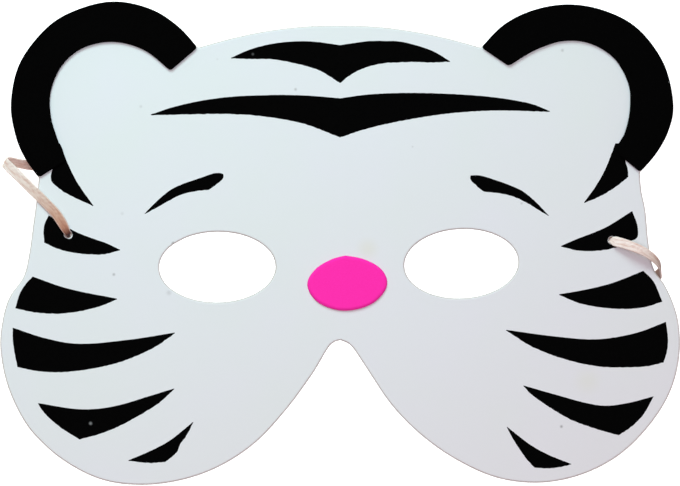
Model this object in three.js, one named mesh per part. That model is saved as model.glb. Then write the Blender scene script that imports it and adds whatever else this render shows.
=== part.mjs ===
// A child's tiger half mask: craft foam cut by a die, lying on its back with its front up.
//
// Millimetres. +Z comes out of the front, +Y points to the top of the head and +X to the right
// of someone who looks at the front. The origin is under the middle of the mask, on the surface
// that it lies on. "Left" and "right" are those of someone who looks at the front.
//
// The stripes and the eyebrows are printed ink with no height, so they have no solid here.

import * as THREE from 'three';

// Driving dimensions
const faceWidth = 201.4; // the span of the arch, from the tip of one cheek to the tip of the other
const foamThickness = 2; // the white sheet
const trimThickness = 1; // the thinner foam of the ear bands and the nose
const archHeight = 12; // how far the middle of the sheet stands clear of the surface
const stripCount = 15; // flat strips that stand for the bend of the arch, the middle one level
const stripMargin = 1; // how far the strips run on past each cheek
const edgeSteps = 3; // straight pieces for each point of a smooth edge
const eyeSteps = 36; // straight pieces round an eye hole
const cordHoleSteps = 12;
const knotSides = 16;

const glueGap = 0.3; // between a glued piece and the sheet, and round the elastic
const cordHoleDiameter = 2.2;
const bandWidth = 3; // the flat elastic
const bandThickness = 0.7;

const knotHeight = 3; // the elastic's knots, behind the cord holes
const knotWidth = 4.4;
const knotNeck = 1.5; // diameter of the gathered elastic inside the hole

// Eye holes: centre, half length, half height, and the degrees that the right-hand end is turned up
const leftEye = { x: -36.2, y: -6.8, halfLength: 17.15, halfHeight: 10.35, turn: 0.8 };
const rightEye = { x: 35.8, y: -5.8, halfLength: 16.8, halfHeight: 10.15, turn: 2.8 };

const leftCordHole = { x: -80.4, y: 2.9 };
const rightCordHole = { x: 80.4, y: 1.1 };

// The die's cutting line, anticlockwise from the top of the nose notch. Each list is one smooth
// edge, and the edges meet at the notch and at the four corners where an ear joins the head.
const noseNotch = [0.1, -28.4];
const rightLobe = [
  [3.4, -30.2], [8.3, -37.35], [14.9, -47.1], [23.4, -55.9], [33.9, -63.4],
  [46.1, -68.95], [58.9, -70.5], [71.3, -68.2], [82.6, -62.4], [91.6, -53.6],
  [97.8, -43.6], [100.5, -32.8], [100.05, -22.3], [96.8, -13.3], [92.75, -7.1],
  [91.2, 1], [90.4, 9.6], [89.15, 15.9], [88.75, 21.2],
];
const rightEar = [
  [93.45, 26.6], [97.2, 33.4], [98.65, 41.5], [95.8, 53.45], [88.1, 63.7],
  [78.2, 69], [67.5, 70.8], [57.15, 69.1], [48.4, 64.8], [41.6, 58],
];
const forehead = [
  [31.5, 60.75], [21.1, 62.85], [10.5, 64.15], [0, 64.5],
  [-10.5, 64.2], [-21.1, 62.95], [-30.9, 61], [-42, 58],
];
const leftEar = [
  [-47.55, 64.1], [-55.6, 69.3], [-66.3, 71.65], [-76.8, 69.6], [-86.3, 64.35],
  [-94.65, 53.75], [-97.4, 41.8], [-96.05, 32.2], [-93.2, 25.4], [-89.1, 19.6],
];
const leftLobe = [
  [-89.9, 12.2], [-90.75, 6.1], [-91.85, -1.9], [-93.6, -9.5], [-97.8, -15.6],
  [-99.95, -22.75], [-100.55, -31.3], [-98.15, -42.7], [-92.25, -54.15], [-83.15, -63],
  [-71.6, -69.25], [-59.7, -71.15], [-47.3, -69.8], [-35.8, -65.75], [-25.1, -58.75],
  [-15.85, -48.85], [-8.05, -38.25], [-2.95, -29.95], noseNotch,
];

// The inner edge of each ear band, in the direction that goes on round from its outer edge
const leftBandInside = [
  [-81, 24.6], [-83.8, 31.9], [-85.5, 38], [-85.45, 45.3],
  [-82.1, 52.8], [-75.85, 57.9], [-66.9, 59.65], [-57.75, 57.15], [-50.1, 51.05],
];
const rightBandInside = [
  [49.8, 52.45], [57.25, 57], [65.4, 59.8], [73.5, 59.3], [80.85, 55],
  [85.1, 47.75], [85.75, 40.9], [84.65, 34.4], [81.9, 26.8],
];

// The nose, clockwise from the slight point at its top
const noseTip = [1.6, -3.4];
const noseEdge = [
  [6.5, -4.3], [11.1, -6.5], [13.6, -9.6], [13.6, -13.1], [10.5, -16.9], [5.8, -19.1],
  [-0.1, -19.6], [-5.8, -17.7], [-9, -14.3], [-9.5, -10.8], [-6.9, -7.1], [-2.5, -4.5], noseTip,
];

// The elastic's route, from the left cord hole to the right one: x, y and z of its middle, then
// the way that its width points, as degrees round from +X and degrees up. It lies on the front,
// leaves over the sheet's edge, folds back on itself, and crosses behind the forehead.
const bandRoute = [
  [-80.5, 3.3, 6.97, 38, 9],
  [-83.55, 8.4, 6.34, 40, 9],
  [-87.85, 13, 5.48, 43, 8],
  [-91.4, 16.4, 4.78, 44, 4],
  [-95.4, 20.4, 4.2, 44, 0],
  [-98, 22.9, 3.85, 45, 0],
  [-98.95, 23.85, 3.4, 52, 12],
  [-99.15, 24.25, 2.3, 64, 20],
  [-98.5, 24.45, 1.3, 75, 22],
  [-97.2, 24.35, 0.98, 80, 24],
  [-94.5, 23.75, 0.95, 80, 22],
  [-90.5, 23.2, 0.7, 84, 10],
  [-82, 23.3, 0.45, 100, 0],
  [-70, 27.5, 0.45, 113, 0],
  [-55, 34.5, 0.45, 114, 0],
  [-38, 41.5, 0.45, 110, 0],
  [-18, 46.5, 0.45, 102, 0],
  [4, 48, 0.45, 88, 0],
  [26, 45, 0.45, 74, 0],
  [45, 37.5, 0.45, 58, 0],
  [58, 26, 0.45, 38, 0],
  [65, 12, 0.45, 20, 0],
  [68.5, -1, 0.45, 22, 0],
  [74.5, -10, 0.45, 54, 0],
  [82.5, -13.6, 0.45, 84, 0],
  [88.4, -13.3, 0.45, 108, 0],
  [92.2, -11.5, 0.45, 119, 0],
  [93.6, -9.75, 0.5, 118, 0],
  [94.4, -8.85, 0.95, 108, -8],
  [94.7, -8, 1.8, 98, -24],
  [94.7, -7, 3.1, 90, -38],
  [94.15, -5.7, 4.7, 80, -44],
  [92.6, -4.1, 6.3, 72, -38],
  [90.2, -2.45, 7.5, 66, -30],
  [86.9, -0.95, 8, 66, -20],
  [83.4, 0.25, 7.75, 68, -10],
  [81.7, 0.7, 7.3, 64, -5],
  [80.85, 0.95, 7.02, 58, -3],
];
const bandStepsPerPoint = 2;

const toVector2 = ([x, y]) => new THREE.Vector2(x, y);

/** How high the sheet's back stands at x, because the mask is arched from side to side. */
function archAt(x) {
  return archHeight * (1 - (x / (faceWidth / 2)) ** 2);
}

/** The point at x on the line from p to q, the same whichever of the two comes first. */
function crossing(p, q, x) {
  const [west, east] = p.x < q.x ? [p, q] : [q, p];
  return new THREE.Vector3().lerpVectors(west, east, (x - west.x) / (east.x - west.x));
}

/** The part of a triangle between two values of x, as the corners of a polygon. */
function clipToStrip(triangle, west, east) {
  const corners = [];
  triangle.forEach((p, i) => {
    const q = triangle[(i + 1) % 3];
    if (p.x >= west && p.x <= east) {
      corners.push(p);
    }
    const limits = p.x < q.x ? [west, east] : [east, west];
    for (const x of limits) {
      if ((p.x - x) * (q.x - x) < 0) {
        corners.push(crossing(p, q, x));
      }
    }
  });
  return corners;
}

/** A flat solid, cut into strips across x and bent to the arch between them. */
function bendToArch(flat) {
  const source = flat.getAttribute('position');
  const reach = faceWidth / 2 + stripMargin;
  const stripWidth = (2 * reach) / stripCount;
  const bent = [];
  for (let i = 0; i < source.count; i += 3) {
    const triangle = [0, 1, 2].map((k) => new THREE.Vector3().fromBufferAttribute(source, i + k));
    for (let strip = 0; strip < stripCount; strip += 1) {
      const west = strip * stripWidth - reach;
      const corners = clipToStrip(triangle, west, west + stripWidth);
      for (let k = 1; k + 1 < corners.length; k += 1) {
        bent.push(corners[0], corners[k], corners[k + 1]);
      }
    }
  }
  const geometry = new THREE.BufferGeometry().setFromPoints(
    bent.map((p) => new THREE.Vector3(p.x, p.y, p.z + archAt(p.x))),
  );
  geometry.computeVertexNormals();
  return geometry;
}

/** Foam cut to a shape, with its underside at a height above the back of the face sheet. */
function foamPiece(shape, thickness, height) {
  const flat = new THREE.ExtrudeGeometry(shape, {
    depth: thickness,
    bevelEnabled: false,
    curveSegments: edgeSteps,
  });
  flat.translate(0, 0, height);
  return bendToArch(flat);
}

function eyeHole(eye) {
  const turn = THREE.MathUtils.degToRad(eye.turn);
  const edge = new THREE.EllipseCurve(
    eye.x, eye.y, eye.halfLength, eye.halfHeight, 0, 2 * Math.PI, false, turn,
  );
  return new THREE.Path(edge.getPoints(eyeSteps));
}

function cordHole(hole) {
  const edge = new THREE.ArcCurve(hole.x, hole.y, cordHoleDiameter / 2, 0, 2 * Math.PI, false);
  return new THREE.Path(edge.getPoints(cordHoleSteps));
}

function faceSheet() {
  const shape = new THREE.Shape().moveTo(...noseNotch);
  for (const edge of [rightLobe, rightEar, forehead, leftEar, leftLobe]) {
    shape.splineThru(edge.map(toVector2));
  }
  shape.holes.push(eyeHole(leftEye), eyeHole(rightEye));
  shape.holes.push(cordHole(leftCordHole), cordHole(rightCordHole));
  return foamPiece(shape, foamThickness, 0);
}

/** An ear band: its outer edge is the ear's own edge, and its ends are cut straight across. */
function earBand(outside, inside) {
  const shape = new THREE.Shape().moveTo(...outside[0]);
  shape.splineThru(outside.slice(1).map(toVector2));
  shape.lineTo(...inside[0]);
  shape.splineThru(inside.slice(1).map(toVector2));
  shape.closePath();
  return foamPiece(shape, trimThickness, foamThickness + glueGap);
}

function nosePiece() {
  const shape = new THREE.Shape().moveTo(...noseTip);
  shape.splineThru(noseEdge.map(toVector2));
  return foamPiece(shape, trimThickness, foamThickness + glueGap);
}

/** The middle line of the elastic, which also says which way its width points on the way. */
class BandPath extends THREE.CatmullRomCurve3 {
  constructor(route) {
    super(route.map(([x, y, z]) => new THREE.Vector3(x, y, z)));
    this.widths = route.map(([, , , round, up]) => {
      const [a, b] = [round, up].map(THREE.MathUtils.degToRad);
      return new THREE.Vector3(Math.cos(a) * Math.cos(b), Math.sin(a) * Math.cos(b), Math.sin(b));
    });
  }

  /** More points where the route has more, so that the folds come out round. */
  getSpacedPoints(steps) {
    return this.getPoints(steps);
  }

  computeFrenetFrames(steps) {
    const frames = { tangents: [], normals: [], binormals: [] };
    for (let i = 0; i <= steps; i += 1) {
      const place = (i / steps) * (this.widths.length - 1);
      const before = Math.min(Math.floor(place), this.widths.length - 2);
      const tangent = this.getTangent(i / steps);
      const width = this.widths[before].clone().lerp(this.widths[before + 1], place - before);
      width.addScaledVector(tangent, -width.dot(tangent)).normalize();
      frames.tangents.push(tangent);
      frames.normals.push(width);
      frames.binormals.push(new THREE.Vector3().crossVectors(tangent, width));
    }
    return frames;
  }
}

function elasticBand() {
  const [x, y] = [bandWidth / 2, bandThickness / 2];
  const selvedge = bandThickness / 4; // how far its edges are rounded off
  const section = new THREE.Shape([
    [x, selvedge / 2], [x - selvedge, y], [selvedge - x, y], [-x, selvedge / 2],
    [-x, -selvedge / 2], [selvedge - x, -y], [x - selvedge, -y], [x, -selvedge / 2],
  ].map(toVector2));
  return new THREE.ExtrudeGeometry(section, {
    steps: (bandRoute.length - 1) * bandStepsPerPoint,
    extrudePath: new BandPath(bandRoute),
  });
}

/** A knot behind the sheet, with the neck of elastic that fills the hole up to the front. */
function knot() {
  const [wide, neck] = [knotWidth / 2, knotNeck / 2];
  const front = knotHeight + glueGap + foamThickness;
  const belly = [[0, 0], [0.6, 0.1], [1, 0.5], [0.7, 0.9]]; // shares of its half width and height
  const profile = belly.map(([x, y]) => [wide * x, knotHeight * y]);
  profile.push([neck, knotHeight], [neck, front], [0, front]);
  return new THREE.LatheGeometry(profile.map(toVector2), knotSides).rotateX(Math.PI / 2);
}

const whiteFoam = { color: '#e2eaed', roughness: 0.85 };
const blackFoam = { color: '#0c0c0e', roughness: 0.85 };
const pinkFoam = { color: '#f92aa6', roughness: 0.8 };
const paleElastic = { color: '#d9bdb2', roughness: 0.75 };

const tigerMask = new THREE.Group();
tigerMask.name = 'tiger_mask';

function addPiece(name, geometry, finish) {
  const material = new THREE.MeshStandardMaterial({ ...finish, metalness: 0 });
  const mesh = new THREE.Mesh(geometry, material);
  mesh.name = name;
  tigerMask.add(mesh);
  return mesh;
}

addPiece('face_sheet', faceSheet(), whiteFoam);
addPiece('ear_band_left', earBand([forehead.at(-1), ...leftEar], leftBandInside), blackFoam);
addPiece('ear_band_right', earBand([rightLobe.at(-1), ...rightEar], rightBandInside), blackFoam);
addPiece('nose', nosePiece(), pinkFoam);
addPiece('elastic_cord', elasticBand(), paleElastic);

for (const [name, hole] of [['cord_knot_left', leftCordHole], ['cord_knot_right', rightCordHole]]) {
  const piece = addPiece(name, knot(), paleElastic);
  piece.position.set(hole.x, hole.y, archAt(hole.x) - glueGap - knotHeight);
}

export default tigerMask;
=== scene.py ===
"""A child's tiger half mask of craft foam, lying on its back with its front up."""

import math

import bmesh
import bpy
import numpy as np
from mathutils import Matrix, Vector, noise
from mathutils.geometry import delaunay_2d_cdt


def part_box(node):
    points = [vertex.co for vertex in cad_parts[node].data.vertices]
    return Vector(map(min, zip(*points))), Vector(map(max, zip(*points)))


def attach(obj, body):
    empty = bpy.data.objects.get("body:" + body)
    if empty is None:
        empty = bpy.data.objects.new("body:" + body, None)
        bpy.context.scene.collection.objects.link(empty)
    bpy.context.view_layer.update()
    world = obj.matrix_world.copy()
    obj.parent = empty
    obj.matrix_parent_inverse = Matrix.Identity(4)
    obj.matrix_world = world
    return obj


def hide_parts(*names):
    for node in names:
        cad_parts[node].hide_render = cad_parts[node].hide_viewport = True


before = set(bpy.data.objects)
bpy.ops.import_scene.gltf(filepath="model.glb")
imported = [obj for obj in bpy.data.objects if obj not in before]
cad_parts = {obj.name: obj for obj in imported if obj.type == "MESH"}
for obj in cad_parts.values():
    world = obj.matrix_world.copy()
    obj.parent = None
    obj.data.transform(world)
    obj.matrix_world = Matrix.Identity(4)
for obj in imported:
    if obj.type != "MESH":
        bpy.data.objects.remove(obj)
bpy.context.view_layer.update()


# The view
# The mask lies on a pale table under a soft lamp by the top of the head, and the camera looks
# straight down on it from far enough away for its arch not to change its outline.

MM = 0.001
VIEW_WIDTH = 200.89 * MM  # what the picture's width takes in, at the mask's mean height
CAMERA_HEIGHT = 3.0  # metres
MEAN_HEIGHT = 8 * MM
VIEW_MIDDLE = (0.0, 0.3 * MM)
SENSOR_WIDTH = 36.0

camera_data = bpy.data.cameras.new("camera")
camera_data.sensor_width = SENSOR_WIDTH
camera_data.lens = SENSOR_WIDTH * (CAMERA_HEIGHT - MEAN_HEIGHT) / VIEW_WIDTH
camera_data.clip_end = 20.0
camera = bpy.data.objects.new("camera", camera_data)
camera.location = (*VIEW_MIDDLE, CAMERA_HEIGHT)
bpy.context.scene.collection.objects.link(camera)
bpy.context.scene.camera = camera
bpy.context.scene.view_settings.view_transform = "Standard"


def linear(colour):
    """The linear red, green, blue and alpha of a colour written as sRGB hex."""
    parts = [int(colour[i:i + 2], 16) / 255 for i in (1, 3, 5)]
    return [c / 12.92 if c <= 0.04045 else ((c + 0.055) / 1.055) ** 2.4 for c in parts] + [1.0]


def add_node(material, kind, settings=None, links=None):
    """Adds a node to a material, with its properties and socket values set and its inputs linked."""
    node = material.node_tree.nodes.new(kind)
    for key, value in (settings or {}).items():
        if isinstance(key, str) and hasattr(node, key):
            setattr(node, key, value)
        else:
            node.inputs[key].default_value = value
    for key, output in (links or {}).items():
        material.node_tree.links.new(output, node.inputs[key])
    return node


def new_material(name):
    """An empty node material and its Principled shader."""
    material = bpy.data.materials.new(name)
    material.use_nodes = True
    return material, material.node_tree.nodes["Principled BSDF"]


def soft_lamp(name, place, size, power, colour):
    """A square softbox that faces the mask."""
    data = bpy.data.lights.new(name, "AREA")
    data.size = size
    data.energy = power
    data.color = linear(colour)[:3]
    lamp = bpy.data.objects.new(name, data)
    lamp.location = place
    lamp.rotation_euler = (-Vector(place)).to_track_quat("-Z", "Y").to_euler()
    bpy.context.scene.collection.objects.link(lamp)


soft_lamp("key_lamp", (-0.3, 1.0, 0.95), size=0.7, power=15.5, colour="#defffe")
soft_lamp("fill_lamp", (0.15, -0.1, 1.3), size=0.9, power=6.8, colour="#e8e7ff")

world = bpy.data.worlds.new("studio")
world.use_nodes = True
world.node_tree.nodes["Background"].inputs["Color"].default_value = linear("#ffdbcb")
world.node_tree.nodes["Background"].inputs["Strength"].default_value = 0.36
bpy.context.scene.world = world


def white_laminate_material():
    """A white laminated board. It glows a little, as one that is lit from below, so that the mask's
    shadow on it is hardly visible."""
    material, shader = new_material("white_laminate")
    shader.inputs["Base Color"].default_value = linear("#f7f8f8")
    shader.inputs["Roughness"].default_value = 0.6
    shader.inputs["Emission Color"].default_value = linear("#ffffff")
    shader.inputs["Emission Strength"].default_value = 0.7
    return material


bpy.ops.mesh.primitive_plane_add(size=6.0, location=(0.0, 0.0, 0.0))
table = bpy.context.active_object
table.name = "table"
table.data.materials.append(white_laminate_material())


# The face sheet
# One piece of white EVA craft foam, 2 mm thick, cut by a steel-rule die with its ears, cheeks,
# nose notch, eye holes and two punched cord holes. It is bowed a little from side to side.

SHEET_THICKNESS = 2.0  # mm
FACE_LOW, FACE_HIGH = (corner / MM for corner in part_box("face_sheet"))
HALF_SPAN = max(FACE_HIGH.x, -FACE_LOW.x)
ARCH_HEIGHT = FACE_HIGH.z - SHEET_THICKNESS
CORNER_TURN = 38.0  # degrees; a cutting line that turns more than this has a corner there
SPIKE_TURN = 150.0
LEAST_TURN = 0.3  # degrees; a point where the line turns less than this isn't needed
LEAST_GAP = 0.2  # mm between two points of a line

# The cut wall from the front edge to the back edge: how far in from the outline, in mm, and the
# share of the thickness. The blade presses the front edge down into a round shoulder.
CUT_WALL = [
    (0.6, 0), (0.38, 0.05), (0.2, 0.13), (0.07, 0.25), (0, 0.42), (0.05, 0.6), (0.03, 0.8),
    (0.12, 0.96), (0.36, 1),
]
SKIN_STEPS = 1  # steps of the wall, from the front, that still show the foam's smooth skin
FULL_ROUNDING = 40  # points; an outline of fewer, such as a cord hole's, has less rounded edges
FRONT, CUT, BACK, PRINT = range(4)  # the order of a foam piece's materials


def arch(x):
    """How high the back of the sheet stands at x, all in mm."""
    return ARCH_HEIGHT * (1 - (x / HALF_SPAN) ** 2)


def arch_normal(x):
    """The way that the front of the sheet faces at x."""
    return Vector((2 * ARCH_HEIGHT * x / HALF_SPAN ** 2, 0, 1)).normalized()


def cutting_lines(node):
    """The edges of the front of a CAD foam piece as closed loops in mm, the foam on their left."""
    mesh = bmesh.new()
    mesh.from_mesh(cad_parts[node].data)
    bmesh.ops.remove_doubles(mesh, verts=mesh.verts, dist=1e-6)
    mesh.normal_update()
    front = {face for face in mesh.faces if face.normal.z > 0.5}
    follower = {}
    for face in front:
        for corner in face.loops:
            if not any(other.face in front for other in corner.edge.link_loops if other != corner):
                follower[corner.vert] = corner.link_loop_next.vert
    loops = []
    while follower:
        start, here = follower.popitem()
        loop = [start]
        while here is not start:
            loop.append(here)
            here = follower.pop(here)
        loops.append([vert.co.xy / MM for vert in loop])
    mesh.free()
    return sorted(loops, key=len, reverse=True)


def turn(loop, i):
    """The degrees that a loop turns at its point i."""
    return math.degrees((loop[i] - loop[i - 1]).angle(loop[(i + 1) % len(loop)] - loop[i], 0))


def without_spikes(loop):
    """A loop without the spikes of no width that sliver triangles leave in it."""
    while True:
        turns = [turn(loop, i) for i in range(len(loop))]
        if max(turns) < SPIKE_TURN:
            return loop
        del loop[turns.index(max(turns))]


def smooth_edges(loop):
    """A loop as the smooth edges between its corners, without the points on straight stretches."""
    loop = without_spikes(loop)
    loop = [
        p for i, p in enumerate(loop)
        if turn(loop, i) > LEAST_TURN and (p - loop[i - 1]).length > LEAST_GAP]
    corners = [i for i in range(len(loop)) if turn(loop, i) > CORNER_TURN]
    if not corners:
        return [loop]
    loop = loop[corners[0]:] + loop[:corners[0]]
    starts = [i - corners[0] for i in corners] + [len(loop)]
    return [loop[a:b] for a, b in zip(starts, starts[1:])]


def curve(points, step):
    """Points about a step apart on the smooth curve through the points between the first and last.
    It is a spline whose pace goes with the square root of the gaps, so that it makes no loops."""
    fine = []
    for a, b, c, d in zip(points, points[1:], points[2:], points[3:]):
        t0, t1 = 0, math.sqrt((b - a).length)
        t2 = t1 + math.sqrt((c - b).length)
        t3 = t2 + math.sqrt((d - c).length)
        count = max(1, round((c - b).length / step))
        for t in (t1 + (t2 - t1) * k / count for k in range(count)):
            ab = a.lerp(b, (t - t0) / (t1 - t0))
            bc = b.lerp(c, (t - t1) / (t2 - t1))
            cd = c.lerp(d, (t - t2) / (t3 - t2))
            abc = ab.lerp(bc, (t - t0) / (t2 - t0))
            bcd = bc.lerp(cd, (t - t1) / (t3 - t1))
            fine.append(abc.lerp(bcd, (t - t1) / (t2 - t1)))
    return fine


def open_curve(points, step):
    """The smooth curve from the first point to the last, which it includes."""
    before = 2 * points[0] - points[1]
    after = 2 * points[-1] - points[-2]
    return curve([before, *points, after], step) + [points[-1]]


def outline(edges, step, radius):
    """The closed loop of some smooth edges, with the corners between them rounded off. Step and
    radius are in mm."""
    if len(edges) == 1:
        points = edges[0]
        return curve([points[-1], *points, *points[:2]], step)
    lines = [
        open_curve([*edge, following[0]], step) for edge, following in zip(edges, edges[1:] + edges[:1])]
    loop = []
    for line, after in zip(lines, lines[1:] + lines[:1]):
        start, corner = line[0], line[-1]
        kept = [p for p in line if min((p - start).length, (p - corner).length) > radius]
        leave = corner + (kept[-1] - corner).normalized() * radius
        toward = next(p for p in after if (p - corner).length > radius)
        join = corner + (toward - corner).normalized() * radius
        bend = [leave.lerp(corner, t).lerp(corner.lerp(join, t), t) for t in (0, 0.25, 0.5, 0.75, 1)]
        loop += kept + bend
    return loop


def to_left(loop):
    """The direction to the left of a loop at each of its points."""
    after = loop[1:] + loop[:1]
    before = loop[-1:] + loop[:-1]
    return [Vector((p.y - q.y, q.x - p.x)).normalized() for p, q in zip(before, after)]


def inside(points, loop):
    """Which of the points lie inside a loop."""
    x, y = np.array(points).T
    within = np.zeros(len(points), bool)
    for a, b in zip(loop, loop[1:] + loop[:1]):
        if a.y != b.y:
            crosses = (a.y > y) != (b.y > y)
            within ^= crosses & (x < a.x + (b.x - a.x) * (y - a.y) / (b.y - a.y))
    return within


def in_foam(points, loops):
    """Which of the points lie inside the first loop and outside the others."""
    within = inside(points, loops[0])
    for hole in loops[1:]:
        within &= ~inside(points, hole)
    return within


def inner_points(loops, edge_points, spacing):
    """The points of a triangular grid that lie in the foam, clear of the points on its edges."""
    xs = np.arange(min(p.x for p in edge_points), max(p.x for p in edge_points), spacing)
    ys = np.arange(min(p.y for p in edge_points), max(p.y for p in edge_points), spacing)
    grid = np.array([(x + (j % 2) * spacing / 2, y) for j, y in enumerate(ys) for x in xs])
    known = np.array(edge_points)
    gaps = np.array([np.hypot(*(known - p).T).min() for p in grid])
    return [Vector(p) for p in grid[in_foam(grid, loops) & (gaps > spacing / 4)]]


def foam_surface(loops, prints, spacing):
    """The flat front of a foam piece in triangles: its points, its triangles, each with whether it
    is printed on, and for each loop the numbers of its points."""
    edge_points = [p for loop in loops + prints for p in loop]
    edges = []
    for loop in loops + prints:
        first = len(edges)
        edges += [(first + i, first + (i + 1) % len(loop)) for i in range(len(loop))]
    flat, _, faces, origins, _, _ = delaunay_2d_cdt(
        edge_points + inner_points(loops, edge_points, spacing), edges, [], 0, 1e-5)
    centres = [sum((flat[i] for i in face), Vector((0, 0))) / 3 for face in faces]
    printed = np.zeros(len(faces), bool)
    for loop in prints:
        printed ^= inside(centres, loop)
    kept = [
        (face, bool(mark))
        for face, mark, ok in zip(faces, printed, in_foam(centres, loops)) if ok]
    new_number = {i: k for k, originals in enumerate(origins) for i in originals}
    rings = []
    first = 0
    for loop in loops:
        rings.append([new_number[i] for i in range(first, first + len(loop))])
        first += len(loop)
    return flat, kept, rings


def wall_rings(line, wall, soft, bottom, top):
    """The points of a cut wall between its front edge and its back edge, and the ways they face."""
    thickness = top - bottom
    points, normals = [], []
    for before, here, after in zip(wall, wall[1:], wall[2:]):
        outward = (after[1] - before[1]) * thickness
        upward = before[0] - after[0]
        for p, left in zip(line, to_left(line)):
            place = p + left * here[0] * soft
            points.append(Vector((*place, arch(place.x) + top - here[1] * thickness)))
            normals.append((Vector((*(-left * outward), 0)) + upward * arch_normal(place.x)).normalized())
    return points, normals


def foam_piece(name, lines, bottom, top, materials, prints=(), wall=CUT_WALL, spacing=5.0):
    """A piece of foam cut along lines, its back and front at heights above the sheet's back.
    The materials are those of its front, cut wall, back and, if it has one, print."""
    softness = [min(1.0, len(line) / FULL_ROUNDING) for line in lines]
    inset = [
        [p + left * wall[0][0] * soft for p, left in zip(line, to_left(line))]
        for line, soft in zip(lines, softness)]
    flat, faces, rings = foam_surface(inset, list(prints), spacing)
    points = [Vector((p.x, p.y, arch(p.x) + height)) for height in (top, bottom) for p in flat]
    normals = [arch_normal(p.x) * way for way in (1, -1) for p in flat]
    polygons = [(tuple(face), PRINT if printed else FRONT) for face, printed in faces]
    polygons += [(tuple(i + len(flat) for i in reversed(face)), BACK) for face, _ in faces]
    for line, ring, soft in zip(lines, rings, softness):
        first, count = len(points), len(line)
        levels = [range(first + k * count, first + (k + 1) * count) for k in range(len(wall) - 2)]
        levels = [ring, *levels, [i + len(flat) for i in ring]]
        wall_points, wall_normals = wall_rings(line, wall, soft, bottom, top)
        points += wall_points
        normals += wall_normals
        for k, (upper, lower) in enumerate(zip(levels, levels[1:])):
            slot = FRONT if k < SKIN_STEPS else CUT
            polygons += [((upper[i - 1], lower[i - 1], lower[i], upper[i]), slot) for i in range(count)]
    mesh = bpy.data.meshes.new(name)
    mesh.from_pydata([p * MM for p in points], [], [corners for corners, _ in polygons])
    mesh.polygons.foreach_set("material_index", [slot for _, slot in polygons])
    mesh.shade_smooth()
    for material in materials:
        mesh.materials.append(material)
    mesh.normals_split_custom_set_from_vertices(normals)
    piece = bpy.data.objects.new(name, mesh)
    bpy.context.scene.collection.objects.link(piece)
    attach(piece, "root")
    return piece


# The way that the painted light falloff runs across the foam, away from the lamp
LIGHT_FALLOFF_WAY = (0.38, -0.925, 0.0)  # from the left ear to the right cheek
DIRT = "#6e6c6a"
CREAM = "#d8d7c4"

# Marks on the foam: x and y and reach in mm, and how much of their colour shows in the middle
SPECKS = [
    (-58.8, 40.6, 0.75, 0.2), (-13.1, 45.6, 0.7, 0.4), (-36.2, 54.5, 0.6, 0.1),
    (65.7, 57.2, 0.75, 0.35), (-64.3, 9, 0.8, 0.15), (-66.8, -9, 0.7, 0.5),
    (53.6, 12, 0.6, 0.3), (65.4, -53.9, 0.7, 0.65), (-49.2, 0.2, 0.8, 0.7),
    (-50.5, -14.4, 1.2, 0.22), (-96.2, -52.5, 0.6, 0.3), (21.4, 28.7, 0.5, 0.2),
]
STAINS = [(8.1, -1.5, 4.5, 0.4), (73.1, -40.6, 5.5, 0.3)]


def celled(material, shader, place, cell, strength, depth, detail=3.0):
    """Bumps a surface with foam cells and returns their noise. Cell and depth are in mm. The real
    cells are about 0.2 mm, and too fine to show, so they are drawn coarser."""
    cells = add_node(
        material, "ShaderNodeTexNoise", {"Scale": 1 / (cell * MM), "Detail": detail}, {"Vector": place})
    bump = add_node(
        material, "ShaderNodeBump", {"Strength": strength, "Distance": depth * MM},
        {"Height": cells.outputs[0]})
    material.node_tree.links.new(bump.outputs[0], shader.inputs["Normal"])
    return cells.outputs[0]


def spotted(material, place, colour, spots, spot_colour):
    """A colour with soft round spots of another on it, the same at every height."""
    flat = add_node(
        material, "ShaderNodeVectorMath", {"operation": "MULTIPLY", 1: (1 / MM, 1 / MM, 0.0)}, {0: place})
    for x, y, reach, strength in spots:
        away = add_node(
            material, "ShaderNodeVectorMath", {"operation": "DISTANCE", 1: (x, y, 0.0)},
            {0: flat.outputs[0]})
        amount = add_node(
            material, "ShaderNodeMapRange",
            {"interpolation_type": "SMOOTHSTEP", "From Max": reach, "To Min": strength, "To Max": 0.0},
            {0: away.outputs["Value"]})
        mixed = add_node(
            material, "ShaderNodeMix", {"data_type": "RGBA", 7: linear(spot_colour)},
            {0: amount.outputs[0], 6: colour})
        colour = mixed.outputs[2]
    return colour


def set_surface(material, shader, colour, roughness, specular):
    """Gives a material its colour, from a node, and its gloss."""
    material.node_tree.links.new(colour, shader.inputs["Base Color"])
    shader.inputs["Roughness"].default_value = roughness
    shader.inputs["Specular IOR Level"].default_value = specular
    return material


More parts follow.
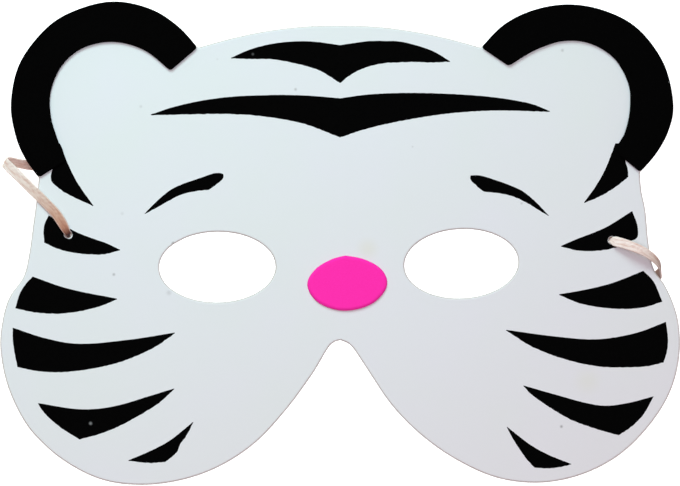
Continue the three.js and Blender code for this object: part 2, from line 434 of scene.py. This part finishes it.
def foam_skin_material(name, stains=(), specks=()):
    """The matt skin of white EVA foam, with closed cells that give it a faint grain and a few marks.
    Painted light falloff makes its white cool at the left ear and warmer and darker at the right cheek."""
    material, shader = new_material(name)
    place = add_node(material, "ShaderNodeTexCoord").outputs["Object"]
    clouds = add_node(
        material, "ShaderNodeTexNoise", {"Scale": 1 / (26 * MM), "Detail": 3.0}, {"Vector": place})
    # Painted light falloff: brighter and cooler at the left ear, by the lamp, darker and warmer at the right
    # cheek
    along = add_node(
        material, "ShaderNodeVectorMath", {"operation": "DOT_PRODUCT", 1: LIGHT_FALLOFF_WAY}, {0: place})
    light_falloff = add_node(
        material, "ShaderNodeMapRange", {"From Min": -75 * MM, "From Max": 95 * MM},
        {0: along.outputs["Value"]})
    cool = add_node(
        material, "ShaderNodeMix", {"data_type": "RGBA", 6: linear("#dce9e4"), 7: linear("#e0e6ec")},
        {0: clouds.outputs[0]})
    warm = add_node(
        material, "ShaderNodeMix", {"data_type": "RGBA", 6: linear("#dbdbd9"), 7: linear("#ded9df")},
        {0: clouds.outputs[0]})
    hue = add_node(
        material, "ShaderNodeMix", {"data_type": "RGBA"},
        {0: light_falloff.outputs[0], 6: cool.outputs[2], 7: warm.outputs[2]})
    stained = spotted(material, place, hue.outputs[2], stains, CREAM)
    marked = spotted(material, place, stained, specks, DIRT)
    celled(material, shader, place, cell=0.45, strength=0.25, depth=0.02, detail=2.0)
    return set_surface(material, shader, marked, roughness=0.85, specular=0.3)


def cut_foam_material():
    """The die's cut through the white foam: open cells, rougher than the skin, and greyer, partly for its
    cells and partly as painted shade along the cut edges.
    """
    material, shader = new_material("white_eva_foam_cut")
    place = add_node(material, "ShaderNodeTexCoord").outputs["Object"]
    cells = celled(material, shader, place, cell=0.5, strength=0.5, depth=0.05)
    # Partly painted shade: greyer than the skin, so that the cut edges show as grey lines
    tint = add_node(
        material, "ShaderNodeMix", {"data_type": "RGBA", 6: linear("#b7b2ad"), 7: linear("#d5d4d2")},
        {0: cells})
    return set_surface(material, shader, tint.outputs[2], roughness=0.95, specular=0.2)


# The printed stripes
# Black screen-printing ink on the white foam, flush with it: two chevrons on the forehead, two
# eyebrows and six stripes on each cheek. The ink's lower edges are a little ragged.

INK_STEP = 0.4  # mm between the points of an inked edge
NOTCH_LENGTH = 0.9  # mm along the edge

# How far the ink has spread and how deep the notches in its edge are, in mm: on every edge, and how
# much more where an edge faces down
INK_SPREAD = (0.06, 0.1)
NOTCH_DEPTH = (0.05, 0.09)

# Each inked area as its smooth edges in turn, anticlockwise, in mm. An edge starts at a corner
# and runs to the corner where the next one starts. An area inside another is bare of ink.
PRINTED = {
    "forehead_upper": [
        [(-32.1, 54.9), (-26, 54.7), (-18.9, 54.5), (-6.1, 51.3)],
        [(0, 47.6), (3, 49.95), (6, 51.6), (12, 53.3), (21, 53.8), (27, 53.7)],
        [(32.4, 53.9), (27, 57), (18, 59.6), (13.5, 59.8), (9, 59.8)],
        [(0, 58.6), (-9, 59.7), (-18, 59.3), (-26, 57.5)],
    ],
    "forehead_lower": [
        [(-55.8, 38.2), (-44, 38.4), (-32.7, 38.5), (-22, 37.7), (-10.7, 35.6)],
        [(0, 31.6), (10, 34.7), (30, 38.4), (45, 39.5)],
        [(61.9, 39.2), (57.5, 41), (53, 42.1), (42, 43.6), (22, 44.5), (8, 44)],
        [(0, 42.9), (-8, 43.6), (-18, 43.9), (-35, 43.1), (-48, 40.7)],
    ],
    "brow_left": [
        [(-57.6, 9), (-54, 10.95), (-50.6, 12.9), (-46.8, 14.75), (-42.9, 15.7)],
        [(-38.8, 16.1), (-36.3, 17.9), (-34.6, 19.5), (-34.5, 20.6), (-36.8, 20.85)],
        [(-39.4, 20.1), (-49.2, 16.4), (-53.5, 13.1)],
    ],
    "brow_right": [
        [(38.6, 20.2), (38.5, 19.3), (40.2, 17.4), (42.4, 15.75), (46.4, 15.2), (50, 14.5),
         (53.6, 13.15)],
        [(61.6, 8.4), (57.6, 12.5), (53.6, 15.7), (43.8, 19.5), (41, 20.2)],
    ],
    "stripe_1_left": [
        [(-84, 31), (-84.4, 24.6), (-84.95, 22.2), (-85.45, 20.2), (-85.2, 18.6), (-83.4, 16.9),
         (-81, 15.2)],
        [(-73, 11.4), (-77.9, 18.5), (-81.2, 25.4), (-82.5, 29)],
    ],
    "stripe_1_right": [
        [(81.45, 29.7), (78.5, 22.2), (75.7, 17.2)],
        [(72.2, 12.3), (76.5, 14.05), (80.2, 16.2), (82.7, 17.95)],
        [(85.2, 20), (85, 22.2), (84.4, 24.2), (83.8, 27)],
        [(84.5, 33), (83.1, 30.8)],
        [(82.4, 29.7)],
    ],
    "stripe_2_left": [
        [(-87.4, 0.6), (-83.25, -1.35), (-78.9, -2.4), (-74, -2.9), (-69.7, -2.9)],
        [(-65, -1.7), (-69.1, 0.2), (-73.1, 1.6), (-78.6, 3.8)],
        [(-86.1, 8.4), (-87.15, 6.35), (-87.6, 4.1)],
    ],
    # Painted highlight: foam left bare of ink by the left hole, standing in for the hole's lit rim
    "bare_lit_rim_by_left_hole": [
        [(-80.75, 2.0), (-80.35, 1.75), (-79.65, 1.8), (-79.2, 2.3)],
        [(-79.1, 2.8), (-79.6, 2.8), (-80.3, 2.2)],
    ],
    "stripe_2_right": [
        [(65.3, -0.6), (68.7, -1.5), (71.9, -1.9), (75.9, -1.85), (80.7, -1.1), (86.2, 1.1),
         (87.8, 2), (88, 5)],
        [(86.4, 9.7), (78.4, 4.8), (69.7, 1.3)],
    ],
    "stripe_3_left": [
        [(-96, -18.9), (-90, -20.1), (-82, -20.4), (-71.8, -18.5)],
        [(-65.9, -16.2), (-80.9, -13.1)],
        [(-90.9, -9.7), (-93, -11.95), (-94.6, -14.5)],
    ],
    "stripe_3_right": [
        [(64.8, -14.9), (71, -17.4), (80, -18.9), (89.1, -18.7)],
        [(95.3, -17), (92.7, -11.1)],
        [(89.7, -8), (80.4, -11.6), (72.7, -13.5)],
    ],
    "stripe_4_left": [
        [(-96.8, -24.8), (-96.7, -29.2)],
        [(-95.4, -36.3), (-88, -37.6), (-80, -37.6), (-67.1, -35.35), (-58.3, -32.1), (-53.5, -29.55)],
        [(-48.8, -26.2), (-63, -28.4), (-78, -29.5), (-87.6, -27.8)],
    ],
    "stripe_4_right": [
        [(49.1, -25.4), (53.4, -28.2), (57.6, -30.6), (66.7, -33.95), (76.2, -36), (85.9, -36.3),
         (90.8, -36)],
        [(95.7, -34.9), (96.75, -31.5), (97, -28)],
        [(96.4, -23.1), (87.7, -26.3), (76, -28.2), (64, -27.4)],
    ],
    "stripe_5_left": [
        [(-89.3, -47.1), (-87.5, -49.7), (-82.7, -54)],
        [(-76.9, -57.6), (-70.75, -55.85), (-64.9, -53.5), (-53.9, -47.1), (-51.5, -45.1)],
        [(-49, -42.7), (-57, -45.15), (-64.7, -47.5), (-71.3, -48.7), (-78, -48.8)],
    ],
    "stripe_5_right": [
        [(54.2, -41.8), (56.4, -44.1), (58.8, -46), (68, -51.6), (75.1, -54.3)],
        [(82.3, -56.4), (86.15, -53.85), (89.4, -50.7)],
        [(92.7, -45.1), (84.9, -47.1), (77.3, -47.8), (61.8, -44)],
    ],
    "stripe_6_left": [
        [(-43.4, -52.6), (-50.3, -58.1), (-56, -61.15)],
        [(-62.4, -63.9), (-56, -64.5)],
        [(-51.6, -64.2), (-48.3, -61.4), (-47.1, -58.8), (-45.3, -56.3)],
    ],
    "stripe_6_right": [
        [(49.3, -54), (51.35, -57.8), (53.6, -61.2), (55.3, -63.6)],
        [(57.4, -65.8), (60.6, -66.1), (63.8, -65.9)],
        [(68.3, -65), (62.1, -62.55), (56.6, -59.6)],
    ],
}


def inked_area(edges):
    """The outline of an inked area. The ink has spread, and most of all where its edge faces down,
    where it is also the most ragged."""
    loop = outline([[Vector(p) for p in edge] for edge in edges], INK_STEP, radius=0.05)
    ragged = []
    for p, left in zip(loop, to_left(loop)):
        down = max(0.0, left.y)
        spread = INK_SPREAD[0] + INK_SPREAD[1] * down
        depth = NOTCH_DEPTH[0] + NOTCH_DEPTH[1] * down
        notch = depth * noise.noise(Vector((*p, 0)) / NOTCH_LENGTH)
        ragged.append(p + left * (notch - spread))
    return ragged


PINHOLES = [(-73.7, -53, 0.75, 0.25), (-25.7, 56, 0.6, 0.1)]  # as SPECKS
FOAM_THROUGH_INK = "#dce2e2"


def screen_ink_material():
    """Screen-printing ink: a thin black film that follows the foam's grain, with two pinholes."""
    material, shader = new_material("black_screen_ink")
    place = add_node(material, "ShaderNodeTexCoord").outputs["Object"]
    cells = celled(material, shader, place, cell=0.6, strength=0.3, depth=0.02)
    film = add_node(
        material, "ShaderNodeMix", {"data_type": "RGBA", 6: linear("#000000"), 7: linear("#050505")},
        {0: cells})
    pierced = spotted(material, place, film.outputs[2], PINHOLES, FOAM_THROUGH_INK)
    return set_surface(material, shader, pierced, roughness=0.8, specular=0.02)


# The stripes are areas of the sheet's own front, so the sheet is made here
sheet_lines = [
    outline(smooth_edges(loop), step=1.0, radius=0.5) for loop in cutting_lines("face_sheet")]
sheet_materials = [
    foam_skin_material("white_eva_foam", STAINS, SPECKS), cut_foam_material(),
    foam_skin_material("white_eva_foam_back"), screen_ink_material()]
face = foam_piece(
    "face_foam", sheet_lines, 0.0, SHEET_THICKNESS, sheet_materials,
    [inked_area(edges) for edges in PRINTED.values()])
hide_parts("face_sheet")


# The ear bands
# A band of black EVA foam glued along the edge of each ear, flush with it, with its ends cut
# straight across.

def dyed_foam_material(name, dark, light, specular):
    """Matt EVA foam that is dyed right through, so that its cut wall has the colour of its skin."""
    material, shader = new_material(name)
    place = add_node(material, "ShaderNodeTexCoord").outputs["Object"]
    cells = celled(material, shader, place, cell=0.5, strength=0.4, depth=0.03)
    tint = add_node(
        material, "ShaderNodeMix", {"data_type": "RGBA", 6: linear(dark), 7: linear(light)}, {0: cells})
    return set_surface(material, shader, tint.outputs[2], roughness=0.85, specular=specular)


TRIM_TOP = 3.0  # mm above the sheet's back
black_foam = dyed_foam_material("black_eva_foam", "#000000", "#050505", specular=0.02)
for side in ("left", "right"):
    band_lines = [
        outline(smooth_edges(loop), step=1.0, radius=1.1) for loop in cutting_lines(f"ear_band_{side}")]
    band = foam_piece(f"{side}_ear_foam", band_lines, SHEET_THICKNESS, TRIM_TOP, [black_foam] * 3)
    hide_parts(f"ear_band_{side}")


# The nose
# An oval of pink EVA foam glued on between the eyes. Its blunt die pinched its edge down all
# round, so that it meets the sheet in a soft shoulder.

# As CUT_WALL
NOSE_WALL = [(1.0, 0), (0.75, 0.04), (0.5, 0.13), (0.28, 0.3), (0.1, 0.55), (0, 0.8), (0, 0.9), (0.4, 1)]

pink_foam = dyed_foam_material("pink_eva_foam", "#fc22a3", "#ff2fb3", specular=0.2)
nose_lines = [outline(smooth_edges(loop), step=0.8, radius=0.5) for loop in cutting_lines("nose")]
nose = foam_piece(
    "nose_foam", nose_lines, SHEET_THICKNESS, TRIM_TOP, [pink_foam] * 3, wall=NOSE_WALL, spacing=3.0)
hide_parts("nose")


# The elastic
# One length of flat braided elastic, 3 mm wide and pale pinkish beige. It comes out of the left
# hole, folds back beside the ear, lies loose behind the forehead and comes round to the right.

BAND_WIDTH = 3.0  # mm
BAND_THICKNESS = 0.7
BAND_RIBS = 6  # the rubber cores that show as ribs along it
RIB_DEPTH = 0.22  # as a share of half the thickness
BAND_STEP = 0.5  # mm between two rings of the mesh
BULGE = 0.75  # how much thicker it gets for the share of its width that it loses
GATHERED = 0.62  # the share of its flat width that is left where it is drawn into a hole
LEFT_SPREAD = (2.2, 5.0)  # mm from its end to where it starts to spread out flat, and then how far on
RIGHT_SPREAD = (2.4, 1.2)

# The middle of the elastic in metres, and the degrees round and up that its width points
BAND_ROUTE = [
    (-0.0805, 0.0033, 0.00697, 38, 9), (-0.08355, 0.0084, 0.00634, 40, 9),
    (-0.08785, 0.013, 0.00548, 43, 8), (-0.0914, 0.0164, 0.00478, 44, 4),
    (-0.0954, 0.0204, 0.0042, 44, 0), (-0.098, 0.0229, 0.00385, 45, 0),
    (-0.09895, 0.02385, 0.0034, 52, 12), (-0.09915, 0.02425, 0.0023, 64, 20),
    (-0.0985, 0.02445, 0.0013, 75, 22), (-0.0972, 0.02435, 0.00098, 80, 24),
    (-0.0945, 0.02375, 0.00095, 80, 22), (-0.0905, 0.0232, 0.0007, 84, 10),
    (-0.082, 0.0233, 0.00045, 100, 0), (-0.07, 0.0275, 0.00045, 113, 0),
    (-0.055, 0.0345, 0.00045, 114, 0), (-0.038, 0.0415, 0.00045, 110, 0),
    (-0.018, 0.0465, 0.00045, 102, 0), (0.004, 0.048, 0.00045, 88, 0),
    (0.026, 0.045, 0.00045, 74, 0), (0.045, 0.0375, 0.00045, 58, 0),
    (0.058, 0.026, 0.00045, 38, 0), (0.065, 0.012, 0.00045, 20, 0),
    (0.0685, -0.001, 0.00045, 22, 0), (0.0745, -0.01, 0.00045, 54, 0),
    (0.0825, -0.0136, 0.00045, 84, 0), (0.0884, -0.0133, 0.00045, 108, 0),
    (0.0922, -0.0115, 0.00045, 119, 0), (0.0936, -0.00975, 0.0005, 118, 0),
    (0.0944, -0.00885, 0.00095, 108, -8), (0.0947, -0.008, 0.0018, 98, -24),
    (0.0947, -0.007, 0.0031, 90, -38), (0.09415, -0.0057, 0.0047, 80, -44),
    (0.0926, -0.0041, 0.0063, 72, -38), (0.0902, -0.00245, 0.0075, 66, -30),
    (0.0869, -0.00095, 0.008, 66, -20), (0.0834, 0.00025, 0.00775, 68, -10),
    (0.0817, 0.0007, 0.0073, 64, -5), (0.08085, 0.00095, 0.00702, 58, -3),
]
INTO_LEFT_HOLE = [
    (-0.0804, 0.00295, 0.0044, 38, 0), (-0.0804, 0.00295, 0.0054, 38, 0), (-0.0804, 0.00305, 0.00635, 38, 4),
]
INTO_RIGHT_HOLE = [
    (0.0803, 0.00108, 0.00674, 50, 0), (0.08008, 0.0011, 0.0059, 45, 0), (0.08008, 0.0011, 0.0044, 45, 0),
]


def station(x, y, z, around, up):
    """A place on the elastic, now in mm, followed by the direction that its width points in."""
    a, b = math.radians(around), math.radians(up)
    widthways = (math.cos(a) * math.cos(b), math.sin(a) * math.cos(b), math.sin(b))
    return Vector((x / MM, y / MM, z / MM, *widthways))


def braid_section():
    """The elastic's ribbed cross-section, as shares of half its width and half its thickness."""
    steps = BAND_RIBS * 4
    top = []
    for k in range(steps):
        s = 1 - 2 * k / steps
        rib = 1 - RIB_DEPTH * math.cos(math.pi * BAND_RIBS * s / 2) ** 2
        top.append((s, math.sqrt(1 - abs(s) ** 8) * rib))
    return top + [(-s, -t) for s, t in top]


def across_and_out(stations, i):
    """The way across the elastic at station i, square to its run, and the way out of its face."""
    before = stations[max(i - 1, 0)].xyz
    after = stations[min(i + 1, len(stations) - 1)].xyz
    forward = (after - before).normalized()
    sideways = Vector(stations[i][3:6])
    sideways = (sideways - forward * sideways.dot(forward)).normalized()
    return sideways, forward.cross(sideways)


def elastic_piece(name, stations, kept, material):
    """A length of elastic through stations, with the share of its width that is kept at each."""
    section = braid_section()
    points, yarn_places = [], []
    travelled = 0.0
    for i, here in enumerate(stations):
        sideways, out = across_and_out(stations, i)
        half_width = BAND_WIDTH / 2 * kept[i]
        half_thickness = BAND_THICKNESS / 2 * (1 + BULGE * (1 - kept[i]))
        travelled += (here.xyz - stations[max(i - 1, 0)].xyz).length
        for s, t in section:
            points.append((here.xyz + sideways * s * half_width + out * t * half_thickness) * MM)
            yarn_places.append((s * BAND_WIDTH / 2 * MM, travelled * MM))
    count = len(section)
    faces = [tuple(range(count))]
    for i in range(len(stations) - 1):
        for k in range(count):
            j = (k + 1) % count
            faces.append((i * count + j, i * count + k, (i + 1) * count + k, (i + 1) * count + j))
    faces.append(tuple(reversed(range(len(points) - count, len(points)))))
    mesh = bpy.data.meshes.new(name)
    mesh.from_pydata(points, [], faces)
    mesh.shade_smooth()
    yarn_map = mesh.uv_layers.new(name="along_band")
    for corner in mesh.loops:
        yarn_map.data[corner.index].uv = yarn_places[corner.vertex_index]
    mesh.materials.append(material)
    piece = bpy.data.objects.new(name, mesh)
    bpy.context.scene.collection.objects.link(piece)
    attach(piece, "root")
    return piece


PICK = 1.4  # mm; the picks of the yarn are drawn coarser than the real 0.4 mm, so that they show
STREAK = (0.8, 4.0)  # mm across and along the elastic

# The elastic's colour at distances in mm from its left end, and back from its right end
# The darkest stops, inside the holes and where it goes under the right cheek, are painted shade
LEFT_COLOURS = [
    (0, "#40211a"), (2.4, "#4c261d"), (4, "#ad7860"), (9, "#c8a28c"), (14, "#d3bcad"), (28, "#ebe3da"),
    (35, "#c8aca2"),
]
RIGHT_COLOURS = [
    (30, "#d6bbb1"), (21, "#7e5847"), (16, "#cebbb1"), (11, "#e9d6ce"), (2.2, "#f1e6df"), (0.9, "#e4d4ca"),
    (0, "#40211a"),
]


def shaded_and_worn_colour(material, along, length):
    """The elastic's colour at a distance along it, in metres as its length is. Its darkest parts are painted
    shade.
    """
    share = add_node(material, "ShaderNodeMath", {"operation": "DIVIDE", 1: length}, {0: along})
    shade_and_wear = add_node(material, "ShaderNodeValToRGB", links={0: share.outputs[0]})
    stops = [(d * MM / length, colour) for d, colour in LEFT_COLOURS]
    stops += [(1 - d * MM / length, colour) for d, colour in RIGHT_COLOURS]
    elements = shade_and_wear.color_ramp.elements
    for element, (position, colour) in zip(elements, (stops[0], stops[-1])):
        element.position = position
        element.color = linear(colour)
    for position, colour in stops[1:-1]:
        elements.new(position).color = linear(colour)
    return shade_and_wear.outputs[0]


def elastic_material(length):
    """Braided elastic: yarn laid in a herringbone over rubber cores, dull, and paler along its
    edges. It is painted dark inside both holes and where it goes under the right cheek, as painted shade,
    and it is browner toward the left hole and palest by the right hole."""
    material, shader = new_material("braided_elastic")
    yarn_map = add_node(material, "ShaderNodeUVMap", {"uv_map": "along_band"})
    parts = add_node(material, "ShaderNodeSeparateXYZ", links={0: yarn_map.outputs[0]})
    across = add_node(material, "ShaderNodeMath", {"operation": "ABSOLUTE"}, {0: parts.outputs[0]})
    slant = add_node(
        material, "ShaderNodeMath", {"operation": "MULTIPLY_ADD", 1: 0.8},
        {0: across.outputs[0], 2: parts.outputs[1]})
    lay = add_node(material, "ShaderNodeCombineXYZ", links={"X": slant.outputs[0]})
    # A wave texture has 20 radians of its pattern in a unit
    picks = add_node(
        material, "ShaderNodeTexWave", {"Scale": math.tau / (20 * PICK * MM), "Distortion": 0.6},
        {"Vector": lay.outputs[0]})
    stretched = add_node(
        material, "ShaderNodeMapping", {"Scale": (1 / (STREAK[0] * MM), 1 / (STREAK[1] * MM), 1.0)},
        {"Vector": yarn_map.outputs[0]})
    streaks = add_node(material, "ShaderNodeTexNoise", {"Scale": 1.0}, {"Vector": stretched.outputs[0]})
    blotches = add_node(
        material, "ShaderNodeMapRange", {"From Min": 0.42, "From Max": 0.66, "To Max": 0.5},
        {0: streaks.outputs[0]})
    blotched = add_node(
        material, "ShaderNodeMix",
        {"data_type": "RGBA", "blend_type": "MULTIPLY", 7: linear("#cf9f8c")},
        {0: blotches.outputs[0], 6: shaded_and_worn_colour(material, parts.outputs[1], length)})
    edge = add_node(
        material, "ShaderNodeMapRange", {"From Min": 1.05 * MM, "From Max": 1.4 * MM, "To Max": 0.45},
        {0: across.outputs[0]})
    tint = add_node(
        material, "ShaderNodeMix", {"data_type": "RGBA", 7: linear("#f2e6dd")},
        {0: edge.outputs[0], 6: blotched.outputs[2]})
    bump = add_node(
        material, "ShaderNodeBump", {"Strength": 0.6, "Distance": 0.12 * MM}, {"Height": picks.outputs[1]})
    material.node_tree.links.new(bump.outputs[0], shader.inputs["Normal"])
    shader.inputs["Sheen Weight"].default_value = 0.15
    return set_surface(material, shader, tint.outputs[2], roughness=0.7, specular=0.3)


band_stations = open_curve(
    [station(*row) for row in INTO_LEFT_HOLE + BAND_ROUTE + INTO_RIGHT_HOLE], BAND_STEP)
band_path = [place.xyz * MM for place in band_stations]
band_length = sum((b - a).length for a, b in zip(band_path, band_path[1:]))
pale_elastic = elastic_material(band_length)


def kept_width(i):
    """The share of its flat width that the elastic has at station i. It is gathered into the left
    hole over a few mm, and folded sharply into the right one."""
    from_ends = (i * BAND_STEP, (len(band_stations) - 1 - i) * BAND_STEP)
    shares = [
        max(away - start, 0.0) / reach
        for away, (start, reach) in zip(from_ends, (LEFT_SPREAD, RIGHT_SPREAD))]
    return GATHERED + (1 - GATHERED) * math.sin(math.pi / 2 * min(*shares, 1.0))


elastic = elastic_piece(
    "elastic_band", band_stations, [kept_width(i) for i in range(len(band_stations))], pale_elastic)
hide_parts("elastic_cord")


# The knots
# The elastic's own ends, each drawn through its hole and tied behind the sheet in an overhand
# knot that is too big to come back, with a short cut tail.

LEFT_HOLE, RIGHT_HOLE = (-80.4, 2.9), (80.4, 1.1)  # mm
KNOT_UNIT = 0.5  # mm; the knot's loop reaches 3 units from its middle
KNOT_DROP = 2.1  # mm from the back of the sheet to the middle of the knot
TIGHT = 0.45  # the share of its flat width that the elastic keeps where it is pulled tight
LOOP_GAP = 0.8  # radians of the trefoil that are cut out for the neck and the tail
LOOP_STEPS = 40
KNOT_STEP = 0.25  # mm between two rings of the mesh
NECK = [(0, 0, 7.5), (0, 0, 5), (0.1, -0.7, 3.2), (-0.6, -2.6, 1.6)]
TAIL = [(2.6, -3.7, -0.4), (4.6, -3.9, -0.9), (6.4, -3.6, -1.2)]


def knot_stations():
    """An overhand knot in its own units: a trefoil cut open, with a neck and a tail. Each station
    is a place, followed by the direction of the elastic's width there."""
    loop = []
    for k in range(LOOP_STEPS + 1):
        t = math.pi + LOOP_GAP / 2 + (2 * math.pi - LOOP_GAP) * k / LOOP_STEPS
        x, y = math.sin(t) + 2 * math.sin(2 * t), math.cos(t) - 2 * math.cos(2 * t)
        along_x, along_y = math.cos(t) + 4 * math.cos(2 * t), -math.sin(t) + 4 * math.sin(2 * t)
        sideways = Vector((-along_y, along_x)).normalized()
        loop.append((x, y, -math.sin(3 * t), *sideways))
    neck = [(*place, *loop[0][3:]) for place in NECK]
    tail = [(*place, *loop[-1][3:]) for place in TAIL]
    return neck + loop + tail


def overhand_knot(name, hole, turned, mirrored):
    """The knot under a hole in the sheet, turned by some degrees."""
    spin = math.radians(turned)
    across = Vector((math.cos(spin), math.sin(spin), 0)) * (-1 if mirrored else 1)
    along = Vector((-math.sin(spin), math.cos(spin), 0))
    middle = Vector((*hole, arch(hole[0]) - KNOT_DROP))
    stations = []
    for x, y, z, a, b in knot_stations():
        place = middle + (across * x + along * y + Vector((0, 0, z))) * KNOT_UNIT
        stations.append(Vector((*place, *(across * a + along * b))))
    fine = open_curve(stations, KNOT_STEP)
    return elastic_piece(name, fine, [TIGHT] * len(fine), pale_elastic)


left_knot = overhand_knot("left_knot_elastic", LEFT_HOLE, turned=25, mirrored=False)
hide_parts("cord_knot_left")
right_knot = overhand_knot("right_knot_elastic", RIGHT_HOLE, turned=-70, mirrored=True)
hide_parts("cord_knot_right")
